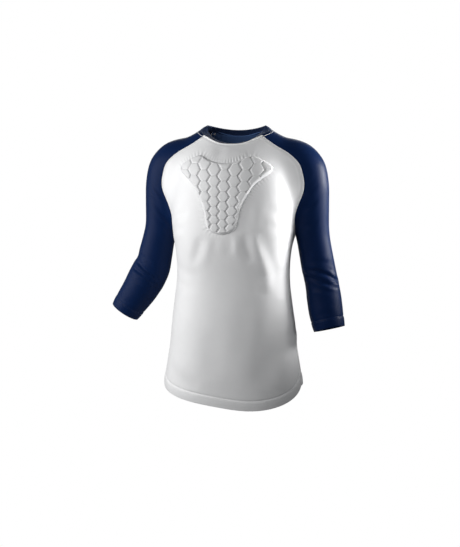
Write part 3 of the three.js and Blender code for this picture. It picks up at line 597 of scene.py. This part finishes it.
RIGHT_CREASES = [
    {"side": "front", "points": [(-240, -318), (-230, -330), (-208, -347), (-188, -366)],
     "width": 4.5, "depth": 3.2},
    {"side": "front", "points": [(-258, -331), (-233, -343), (-214, -355), (-196, -372)],
     "width": 4.5, "depth": 3.0},
    {"side": "front", "points": [(-245, -296), (-218, -311), (-198, -330)], "width": 5, "depth": 1.3},
    {"side": "front", "points": [(-262, -352), (-240, -364), (-222, -372)], "width": 5, "depth": 1.0},
    {"side": "front", "points": [(-213, -152), (-191, -176), (-171, -205), (-154, -233)],
     "width": 4.5, "depth": 1.7},
    {"side": "front", "points": [(-200, -128), (-182, -146), (-164, -164)], "width": 4.5, "depth": 1.6},
    {"side": "front", "points": [(-209, -133), (-193, -159), (-176, -182)], "width": 4.5, "depth": 1.3},
    {"side": "front", "points": [(-192, -206), (-176, -224), (-160, -246)], "width": 5, "depth": 0.9},
    {"side": "front", "points": [(-292, -404), (-272, -416), (-250, -420)], "width": 6, "depth": 0.7},
    {"side": "back", "points": [(-206, -146), (-186, -180), (-162, -218)], "width": 6, "depth": 1.5},
    {"side": "back", "points": [(-196, -122), (-178, -150), (-160, -172)], "width": 5, "depth": 1.2},
    {"side": "back", "points": [(-252, -326), (-222, -340), (-190, -346)], "width": 6, "depth": 1.2},
    {"side": "back", "points": [(-240, -300), (-214, -316), (-186, -320)], "width": 6, "depth": 1.0},
    {"side": "back", "points": [(-268, -356), (-242, -372), (-214, -376)], "width": 6, "depth": 0.9},
]
LEFT_CREASES = [
    {"side": "front", "points": [(171, -141), (185, -125), (203, -105)], "width": 4.5, "depth": 1.6},
    {"side": "front", "points": [(172, -148), (186, -137), (206, -122)], "width": 4.5, "depth": 1.4},
    {"side": "front", "points": [(162, -189), (185, -175), (207, -157)], "width": 5, "depth": 1.4},
    {"side": "front", "points": [(166, -228), (188, -218), (207, -204)], "width": 5, "depth": 1.2},
    {"side": "front", "points": [(255, -356), (231, -338), (203, -329), (174, -322)],
     "width": 4.5, "depth": 3.0},
    {"side": "front", "points": [(254, -370), (225, -357), (198, -348), (172, -341)],
     "width": 4.5, "depth": 2.7},
    {"side": "front", "points": [(246, -381), (218, -373), (194, -370), (176, -366)],
     "width": 5, "depth": 1.3},
    {"side": "front", "points": [(238, -312), (214, -306), (184, -304)], "width": 6, "depth": 0.9},
    {"side": "front", "points": [(256, -432), (232, -428), (206, -434)], "width": 7, "depth": 0.6},
    {"side": "back", "points": [(200, -110), (186, -136), (166, -158)], "width": 5, "depth": 1.3},
    {"side": "back", "points": [(206, -158), (186, -184), (162, -206)], "width": 6, "depth": 1.3},
    {"side": "back", "points": [(240, -330), (212, -336), (180, -334)], "width": 6, "depth": 1.1},
    {"side": "back", "points": [(244, -356), (214, -362), (182, -358)], "width": 6, "depth": 1.0},
    {"side": "back", "points": [(232, -300), (206, -304), (178, -300)], "width": 6, "depth": 0.8},
]
# The middle of each sleeve and of the shoulder above it, in mm: its height, how far it is from
# the body's middle, and its place front to back
SLEEVE_MIDDLES = {
    "left": [(-60, 120, 2), (-115, 173, 2), (-264, 192, 0), (-337, 206, 0), (-396, 219, -5),
             (-472, 235, -20)],
    "right": [(-60, 120, 2), (-115, 173, 2), (-264, 196, 0), (-338, 216, -1), (-396, 247, -7),
              (-448, 283, -12)],
}

navy_knit = knit_cloth("navy_knit", (0.0035, 0.0145, 0.062), 0.38, 1.4 * MM, 0.15, gloss=0.06, sheen=0.03,
                       sheen_tint=(0.35, 0.6, 1, 1))


def sleeve_cloth(side, creases):
    """A sleeve with its creases, cuff and the places of its seams."""
    sign = 1 if side == "left" else -1
    piece = rounded_skin("sleeve_" + side + "_cloth", outer_skin("sleeve_" + side), SLEEVE_ROUNDING)
    mesh = piece.data
    crease(mesh, creases)
    loops = sorted(open_loops(mesh), key=lambda loop: loop[:, 2].mean())
    cuff, top = loops[0], loops[-1]
    gap = gap_to_line(places_of(mesh), np.vstack([cuff, cuff[:1]]))[0] / MM
    move_out(mesh, turned_edge(gap, CUFF_PUFF, CUFF_GROOVE))
    places = places_of(mesh)
    heights, aside, ahead = np.array(SLEEVE_MIDDLES[side][::-1]).T * MM
    middle_x = np.interp(places[:, 2], heights, aside)
    middle_y = np.interp(places[:, 2], heights, ahead)
    turns = np.arctan2(places[:, 1] - middle_y, sign * places[:, 0] - middle_x)
    lay_knit(mesh, turns, places[:, 2], SLEEVE_RADIUS)
    return piece, {"cuff": cuff, "top": top}


left_cloth, left_lines = sleeve_cloth("left", LEFT_CREASES)
right_cloth, right_lines = sleeve_cloth("right", RIGHT_CREASES)
dress(left_cloth, "sleeve_left", navy_knit, KNIT_WALL)
dress(right_cloth, "sleeve_right", navy_knit, KNIT_WALL)


# Neckband and back neck facing
# The neckband is a doubled strip of the navy knit that stands and leans in from the neck seam.
# A half-moon of matte navy knit lines the back of the neck below it, its top tucked up inside it. Its
# navy is painted much lighter than the sleeves' navy, painted light that stands in for light falling into
# the neck.
COLLAR_WALL = 2.0 * MM
FACING_WALL = 0.8 * MM
COLLAR_ROUNDING = 2
NECK_RADIUS = 80 * MM
FACING_RISE = 4.5 * MM
FACING_TUCK = 3.0 * MM
FACING_REACH = 10 * MM

# The facing's colour is a much lighter navy than the sleeves: painted light, standing in for light that
# falls inside the neck opening.
facing_painted_light_knit = knit_cloth("navy_facing", (0.065, 0.135, 0.33), 0.75, 1.6 * MM, 0.25, gloss=0.3, sheen=0.1,
                         sheen_tint=(0.6, 0.75, 1, 1))
band_knit = knit_cloth("neckband_knit", (0.006, 0.019, 0.07), 0.55, 2.2 * MM, 0.4, gloss=0.3, sheen=0.1,
                       sheen_tint=(0.5, 0.68, 1, 1))

neckband = rounded_skin("neckband", outer_skin("collar"), COLLAR_ROUNDING)
band_places = places_of(neckband.data)
band_turns = np.arctan2(band_places[:, 1], band_places[:, 0])
lay_knit(neckband.data, band_turns, band_places[:, 2], NECK_RADIUS)
dress(neckband, "collar", band_knit, COLLAR_WALL)

facing = rounded_skin("back_neck_facing", outer_skin("neck_facing"), COLLAR_ROUNDING)
facing_places = places_of(facing.data)
band_tree = tree_of(neckband.data)
band_gap = np.array([band_tree.find_nearest(Vector(place))[3] for place in facing_places])
tuck = np.exp(-(band_gap / FACING_REACH) ** 2)[:, None]
inwards = facing_places * (-1, -1, 0)
inwards /= np.linalg.norm(inwards, axis=1)[:, None]
facing_places += tuck * (FACING_RISE * np.array([0, 0, 1]) + FACING_TUCK * inwards)
facing.data.vertices.foreach_set("co", facing_places.ravel())
facing.data.update()
lay_knit(facing.data, facing_places[:, 0] / NECK_RADIUS, facing_places[:, 2], NECK_RADIUS)
dress(facing, "neck_facing", facing_painted_light_knit, FACING_WALL)


# Chest pad
# A moulded foam pad faced with the white knit and bonded to the front. Hexagon cells run in
# columns, parted by deep zigzag grooves down and faint ones across, inside a bevelled rim.
PAD_GRID = 0.9
PAD_FULL = 6.4
PAD_RIM = 1.1
PAD_BEVEL = 5.2
RIM_BEAD = 1.2
RIM_BEAD_AT = 1.6
RIM_BEAD_HALF = 1.2
CELL_WIDTH = 24.5
CELL_HEIGHT = 26.2
CELL_SHRINK = 1.4
CELL_NARROWING = 0.04
CELL_TOP = -88
CELL_SHIFT = 4
GROOVE_DEPTH = 3.0
GROOVE_HALF = 2.9
CROSS_DEPTH = 1.3
CROSS_HALF = 1.4
CELL_CROWN = 0.5
CELLS_FROM = 4.4
CELLS_FADE = 1.2
PAD_LIFT = 0.12
RIM_SMOOTHINGS = 4
OUT_SMOOTHINGS = 30
OUT_KEPT = 0.4

pad_skin = knit_cloth("pad_skin", (0.76, 0.76, 0.765), 0.48, 1.4 * MM, 0.12)


def cell_gaps(x, z):
    """Distance in mm from the slanted and from the level sides of the cell round each place,
    and how far out in its cell it is, from 0 at the middle to 1 at the side."""
    drop = CELL_TOP - z
    inner = np.maximum(CELL_HEIGHT ** 2 - 2 * CELL_SHRINK * drop, 1)
    row = np.where(drop < 0, drop / CELL_HEIGHT, (CELL_HEIGHT - np.sqrt(inner)) / CELL_SHRINK)
    down = np.maximum(row, 0)
    wide = CELL_WIDTH * (1 - CELL_NARROWING * down)
    tall = CELL_HEIGHT - CELL_SHRINK * down
    column = x / wide
    best = np.full(x.shape, -np.inf)
    slant = np.zeros(x.shape)
    level = np.zeros(x.shape)
    for shift in (-1, 0, 1):
        middle = np.round(column) + shift
        half = np.where(middle % 2 == 0, 0.5, 0.0)
        middle_row = np.round(row - half) + half
        dx = np.abs(column - middle) * wide
        dz = np.abs(row - middle_row) * tall
        norm = np.hypot(tall / 2, wide / 3)
        slant_gap = (tall / 2 * (2 * wide / 3) - tall / 2 * dx - wide / 3 * dz) / norm
        level_gap = tall / 2 - dz
        inmost = np.minimum(slant_gap, level_gap)
        better = inmost > best
        best[better] = inmost[better]
        slant[better] = slant_gap[better]
        level[better] = level_gap[better]
    return slant, level, 1 - np.clip(best / (tall / 2), 0, 1)


def inside_outline(flat, outline):
    ends = np.roll(outline, -1, axis=0)
    inside = np.zeros(len(flat), bool)
    for (x0, z0), (x1, z1) in zip(outline, ends):
        crosses = (z0 > flat[:, 1]) != (z1 > flat[:, 1])
        at = x0 + (flat[:, 1] - z0) * (x1 - x0) / (z1 - z0 if z1 != z0 else 1e-9)
        inside ^= crosses & (flat[:, 0] < at)
    return inside


def smooth_step(t):
    t = np.clip(t, 0, 1)
    return t * t * (3 - 2 * t)


pad_low = pad_edge.min(0)
pad_high = pad_edge.max(0)
pad_size = pad_high - pad_low
pad_bm = bmesh.new()
columns, rows = (int(side / PAD_GRID) for side in pad_size)
bmesh.ops.create_grid(pad_bm, x_segments=columns, y_segments=rows, size=0.5)
stretch = Matrix.Diagonal((pad_size[0], pad_size[1], 1, 1))
bmesh.ops.transform(pad_bm, matrix=stretch, verts=pad_bm.verts)
centre = (pad_low + pad_high) / 2
bmesh.ops.translate(pad_bm, verts=pad_bm.verts, vec=(centre[0], centre[1], 0))
flat = np.array([v.co[:2] for v in pad_bm.verts])
kept = inside_outline(flat, pad_edge)
outside = [v for v, keep in zip(pad_bm.verts, kept) if not keep]
bmesh.ops.delete(pad_bm, geom=outside, context="VERTS")
loose = [f for f in pad_bm.faces if sum(e.is_boundary for e in f.edges) > 2]
bmesh.ops.delete(pad_bm, geom=loose, context="FACES")
stray = [v for v in pad_bm.verts if not v.link_faces]
bmesh.ops.delete(pad_bm, geom=stray, context="VERTS")
rim_verts = [v for v in pad_bm.verts if v.is_boundary]
rim_flat = np.array([v.co[:2] for v in rim_verts])
step = np.roll(pad_edge, -1, axis=0) - pad_edge
for vert, place in zip(rim_verts, rim_flat):
    t = np.clip(((place - pad_edge) * step).sum(1) / (step ** 2).sum(1), 0, 1)
    near = pad_edge + step * t[:, None]
    chosen = near[np.argmin(((near - place) ** 2).sum(1))]
    vert.co = (chosen[0], chosen[1], 0)
beside_rim = [v for v in pad_bm.verts if not v.is_boundary
              and any(e.other_vert(v).is_boundary for e in v.link_edges)]
for _ in range(RIM_SMOOTHINGS):
    bmesh.ops.smooth_vert(pad_bm, verts=beside_rim, factor=0.5,
                          use_axis_x=True, use_axis_y=True, use_axis_z=False)

flat = np.array([v.co[:2] for v in pad_bm.verts])
rim_gap = gap_to_line(flat, pad_edge, closed=True)[0]
slant_gap, level_gap, outness = cell_gaps(flat[:, 0] - PAD_SHIFT - CELL_SHIFT, flat[:, 1])
within = smooth_step((rim_gap - CELLS_FROM) / CELLS_FADE)
pad_height = PAD_RIM + (PAD_FULL - PAD_RIM) * smooth_step(rim_gap / PAD_BEVEL)
pad_height += RIM_BEAD * np.exp(-((rim_gap - RIM_BEAD_AT) / RIM_BEAD_HALF) ** 2)
pad_height += CELL_CROWN * (1 - outness ** 2) * within
pad_height -= GROOVE_DEPTH * np.clip(1 - slant_gap / GROOVE_HALF, 0, 1) * within
pad_height -= CROSS_DEPTH * np.clip(1 - level_gap / CROSS_HALF, 0, 1) * within

base = []
outs = []
for x, z in flat * MM:
    place, normal = front_bare.ray_cast(Vector((x, -CLEAR_OF_SHIRT, z)), Vector((0, 1, 0)))[:2]
    base.append(place)
    outs.append(normal)
base = np.array(base)
outs = np.array(outs)
pad_bm.verts.index_update()
neighbours = [[e.other_vert(v).index for e in v.link_edges] for v in pad_bm.verts]
pairs = np.array([(i, j) for i, row in enumerate(neighbours) for j in row])
counts = np.bincount(pairs[:, 0], minlength=len(base))[:, None]
for _ in range(OUT_SMOOTHINGS):
    spread = np.zeros_like(outs)
    np.add.at(spread, pairs[:, 0], outs[pairs[:, 1]])
    outs = OUT_KEPT * outs + (1 - OUT_KEPT) * spread / counts
    outs /= np.linalg.norm(outs, axis=1)[:, None]
top = base + outs * (pad_height * MM)[:, None]
under = base + outs * (PAD_LIFT * MM)

upper = pad_bm.verts[:]
copy = bmesh.ops.duplicate(pad_bm, geom=upper + pad_bm.edges[:] + pad_bm.faces[:])
for vert, place, below in zip(upper, top, under):
    vert.co = place
    copy["vert_map"][vert].co = below
twins = [item for item in copy["geom"] if isinstance(item, bmesh.types.BMFace)]
bmesh.ops.reverse_faces(pad_bm, faces=twins)
bmesh.ops.bridge_loops(pad_bm, edges=[e for e in pad_bm.edges if e.is_boundary])
bmesh.ops.recalc_face_normals(pad_bm, faces=pad_bm.faces)
pad_mesh = bpy.data.meshes.new("honeycomb_pad")
pad_bm.to_mesh(pad_mesh)
pad_bm.free()
pad_mesh.polygons.foreach_set("use_smooth", np.ones(len(pad_mesh.polygons), bool))
pad_places = places_of(pad_mesh)
lay_knit(pad_mesh, pad_places[:, 0] / BODY_RADIUS, pad_places[:, 2], BODY_RADIUS)
pad = bpy.data.objects.new("honeycomb_pad", pad_mesh)
scene.collection.objects.link(pad)
pad_mesh.materials.append(pad_skin)
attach(pad, "root")
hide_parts("chest_pad")


# Seams and stitching
# The raglan, neck and side seams are flat covered seams: a narrow domed band of white thread and
# cloth, crossed by slanting stitches. Twin rows of stitches hold the hem and the cuffs.
SEAM_STEP = 0.65
FLATLOCK_PITCH = 2.6
FLATLOCK_ROPE = 0.22
FLATLOCK_SLANT = 0.7
BAND_HEIGHT = 0.75
SIDE_BAND = 5
THREAD_PITCH = 3.0
THREAD_WIDE = 0.8
THREAD_HIGH = 0.45
THREAD_SINK = 0.12
THREAD_STEP = 0.5
STRIP_WALL = 0.3
PROBE = 4
PROBE_EVERY = 20
HEM_ROWS = (18.5, 22.0)

white_band = knit_cloth("white_seam_band", (0.95, 0.95, 0.95), 0.5, 1.2 * MM, 0.1, sheen=0.5)
white_thread = knit_cloth("white_thread", (0.93, 0.93, 0.93), 0.45, 0.5 * MM, 0.1, sheen=0.4)
navy_thread = knit_cloth("navy_thread", (0.006, 0.02, 0.08), 0.45, 0.5 * MM, 0.1, gloss=0.35)


def even_line(line, step):
    run = np.concatenate([[0], np.cumsum(np.linalg.norm(line[1:] - line[:-1], axis=1))])
    stops = np.linspace(0, run[-1], max(int(run[-1] / (step * MM)), 2))
    return np.stack([np.interp(stops, run, line[:, k]) for k in range(3)], axis=1), stops / MM


def softened(line, rounds=6):
    for _ in range(rounds):
        line = np.vstack([line[:1], 0.25 * line[:-2] + 0.5 * line[1:-1] + 0.25 * line[2:], line[-1:]])
    return line


def sewn_strip(bm, tree, line, start, width, columns, height_at, step=SEAM_STEP):
    """Adds a strip that lies on a cloth beside one of its edges. height_at gives how far it
    stands off the cloth, from the run along it and the share across it."""
    stations, runs = even_line(softened(line), step)
    tangents = np.gradient(stations, axis=0)
    tangents /= np.linalg.norm(tangents, axis=1)[:, None]
    normals = np.array([tree.find_nearest(Vector(p))[1] for p in stations])
    inwards = np.cross(normals, tangents)
    inwards /= np.linalg.norm(inwards, axis=1)[:, None]
    # The cloth lies on the side of its edge where points beside the edge are nearer to it
    votes = 0
    for place, inward in zip(stations[::PROBE_EVERY], inwards[::PROBE_EVERY] * PROBE * MM):
        on_side, off_side = (tree.find_nearest(Vector(place + way * inward))[3] for way in (1, -1))
        votes += 1 if on_side < off_side else -1
    if votes < 0:
        inwards = -inwards
    made = bmesh.ops.create_grid(bm, x_segments=len(stations) - 1, y_segments=columns, size=0.5)
    for vert in made["verts"]:
        i = round((vert.co.x + 0.5) * (len(stations) - 1))
        share = vert.co.y + 0.5
        aim_at = Vector(stations[i] + inwards[i] * (start + share * width) * MM)
        place, normal = tree.find_nearest(aim_at)[:2]
        vert.co = place + normal * height_at(runs[i], share) * MM
    faces = list(dict.fromkeys(face for vert in made["verts"] for face in vert.link_faces))
    votes = 0
    for face in faces[::PROBE_EVERY]:
        face.normal_update()
        outward = tree.find_nearest(face.calc_center_median())[1]
        votes += 1 if face.normal.dot(outward) > 0 else -1
    if votes < 0:
        bmesh.ops.reverse_faces(bm, faces=faces)


def flatlock(run, share):
    dome = BAND_HEIGHT * (1 - abs(2 * share - 1) ** 3)
    rope = FLATLOCK_ROPE * math.sin(2 * math.pi * (run / FLATLOCK_PITCH + FLATLOCK_SLANT * share))
    return dome + rope * min(1, 6 * share * (1 - share))


def thread_row(run, share):
    dash = max(math.sin(math.pi * (run % THREAD_PITCH) / THREAD_PITCH), 0) ** 0.4
    return THREAD_HIGH * dash * math.sin(math.pi * share) - THREAD_SINK


def finish_strips(name, bm, material):
    """Turns a mesh of strips into one sewn piece with a thin wall."""
    mesh = bpy.data.meshes.new(name)
    bm.to_mesh(mesh)
    bm.free()
    mesh.polygons.foreach_set("use_smooth", np.ones(len(mesh.polygons), bool))
    places = places_of(mesh)
    lay_knit(mesh, places[:, 0] / BODY_RADIUS, places[:, 2], BODY_RADIUS)
    mesh.materials.append(material)
    piece = bpy.data.objects.new(name, mesh)
    scene.collection.objects.link(piece)
    wall = piece.modifiers.new("wall", "SOLIDIFY")
    wall.thickness = STRIP_WALL * MM
    wall.offset = -1
    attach(piece, "root")


front_tree = tree_of(front_cloth.data)
back_tree = tree_of(back_cloth.data)
for side in ("left", "right"):
    for face_of, tree, lines in (("front", front_tree, front_lines), ("back", back_tree, back_lines)):
        band = bmesh.new()
        sewn_strip(band, tree, lines[side + "_raglan"], 0, RAGLAN_BAND, 8, flatlock)
        finish_strips(face_of + "_" + side + "_raglan_seam", band, white_band)
    band = bmesh.new()
    sewn_strip(band, front_tree, front_lines[side + "_side"], 0, SIDE_BAND, 6, flatlock)
    finish_strips(side + "_side_seam", band, white_band)

for face_of, tree, lines in (("front", front_tree, front_lines), ("back", back_tree, back_lines)):
    band = bmesh.new()
    sewn_strip(band, tree, lines["neck"], 0, NECK_BAND, 6, flatlock)
    finish_strips(face_of + "_neck_seam", band, white_band)

stitches = bmesh.new()
for row in HEM_ROWS:
    sewn_strip(stitches, front_tree, front_lines["hem"], row, THREAD_WIDE, 3, thread_row, THREAD_STEP)
    sewn_strip(stitches, back_tree, back_lines["hem"], row, THREAD_WIDE, 3, thread_row, THREAD_STEP)
finish_strips("hem_stitches", stitches, white_thread)

stitches = bmesh.new()
for cloth, lines in ((left_cloth, left_lines), (right_cloth, right_lines)):
    tree = tree_of(cloth.data)
    round_cuff = np.vstack([lines["cuff"], lines["cuff"][:1]])
    for row in HEM_ROWS:
        sewn_strip(stitches, tree, round_cuff, row, THREAD_WIDE, 3, thread_row, THREAD_STEP)
finish_strips("cuff_stitches", stitches, navy_thread)

# White top stitching on the navy, beside the neckband
NECK_STITCH = 4.6
NECK_STITCH_WIDE = 1.3
stitches = bmesh.new()
for cloth, lines, turn in ((left_cloth, left_lines, 1), (right_cloth, right_lines, -1)):
    corners = [Vector((turn * p.x, p.y, p.z)) for p in (NECK_POINT, BACK_NECK_POINT)]
    line = edge_between(lines["top"], corners[0], corners[1])
    tree = tree_of(cloth.data)
    sewn_strip(stitches, tree, line, NECK_STITCH, NECK_STITCH_WIDE, 3, thread_row, THREAD_STEP)
finish_strips("neck_stitches", stitches, white_thread)
